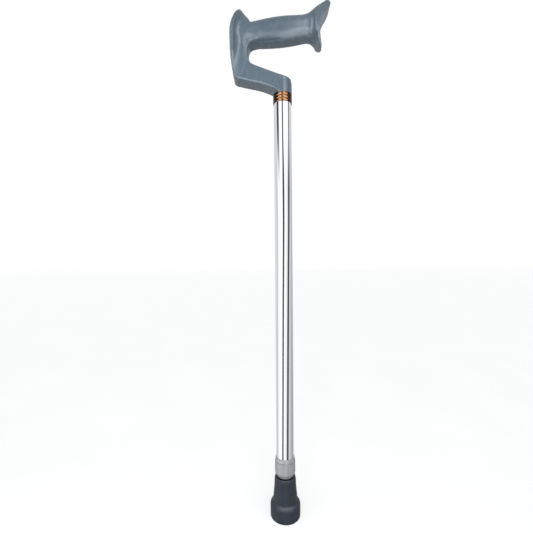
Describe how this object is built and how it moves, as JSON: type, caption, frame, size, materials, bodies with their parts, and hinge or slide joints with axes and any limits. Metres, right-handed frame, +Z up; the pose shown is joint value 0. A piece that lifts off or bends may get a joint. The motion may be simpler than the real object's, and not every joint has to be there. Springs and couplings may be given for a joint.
{
  "type": "single point walking cane",
  "caption": "Height-adjustable walking cane with a guarded palm handle, telescopic tube shaft, snap button, twist lock and rubber tip.",
  "frame": {"origin": "centre of the rubber tip's ground face, on the shaft axis", "axes": "+Z up the shaft, -X towards the hand guard of the handle, +X towards its heel horn, +Y towards the snap button and the row of adjusting holes"},
  "size_m": [0.1417, 0.0454, 0.7412],
  "materials": {
    "handle_plastic": "semi-gloss moulded plastic, blue-grey",
    "insert_brass": "turned",
    "turned_aluminium": "turned",
    "fastener_steel": "zinc plated",
    "collar_bronze": "bronze anodised, polished",
    "shaft_polished": "polished, clear anodised",
    "lock_silver": "satin anodised, silver grey",
    "acetal": "natural acetal",
    "spring_steel": "nickel plated",
    "tip_rubber": "matte moulded rubber, dark grey"
  },
  "bodies": {
    "lower_shaft": {"lower_tube": "shaft_polished", "glide_bush": "acetal", "snap_spring": "spring_steel", "tip_washer": "fastener_steel", "rubber_tip": "tip_rubber"},
    "upper_shaft": {"handle_grip": "handle_plastic", "handle_insert": "insert_brass", "handle_spigot": "turned_aluminium", "handle_bolt": "fastener_steel", "bolt_washer": "fastener_steel", "spigot_rivets": "turned_aluminium", "collar_ring": "collar_bronze", "upper_tube": "shaft_polished", "lock_bush": "lock_silver"},
    "lock_ring": {"compression_ring": "acetal", "slip_washer": "acetal"},
    "nut": {"lock_nut": "lock_silver"},
    "button": {"snap_button": "spring_steel"}
  },
  "joints": [
    {"name": "height_adjust", "type": "slide", "parent": "lower_shaft", "child": "upper_shaft", "axis": [0, 0, 1], "range_m": [0, 0.2286]},
    {"name": "lock_ring_shift", "type": "slide", "parent": "upper_shaft", "child": "lock_ring", "axis": [0, 0, 1], "range_m": [-0.0018, 0]},
    {"name": "lock_nut_turn", "type": "hinge", "parent": "lock_ring", "child": "nut", "pos_m": [0, 0, 0.07], "axis": [0, 0, 1], "range_deg": [-300, 0]},
    {"name": "button_press", "type": "slide", "parent": "lower_shaft", "child": "button", "axis": [0, -1, 0], "range_m": [0, 0.0028], "stiffness_N_per_m": 1500, "springref_m": -0.002, "deforming": ["snap_spring"]}
  ],
  "couplings": [
    {"joint": "lock_ring_shift", "follows": "lock_nut_turn", "m_per_rad": 0.00031831}
  ]
}
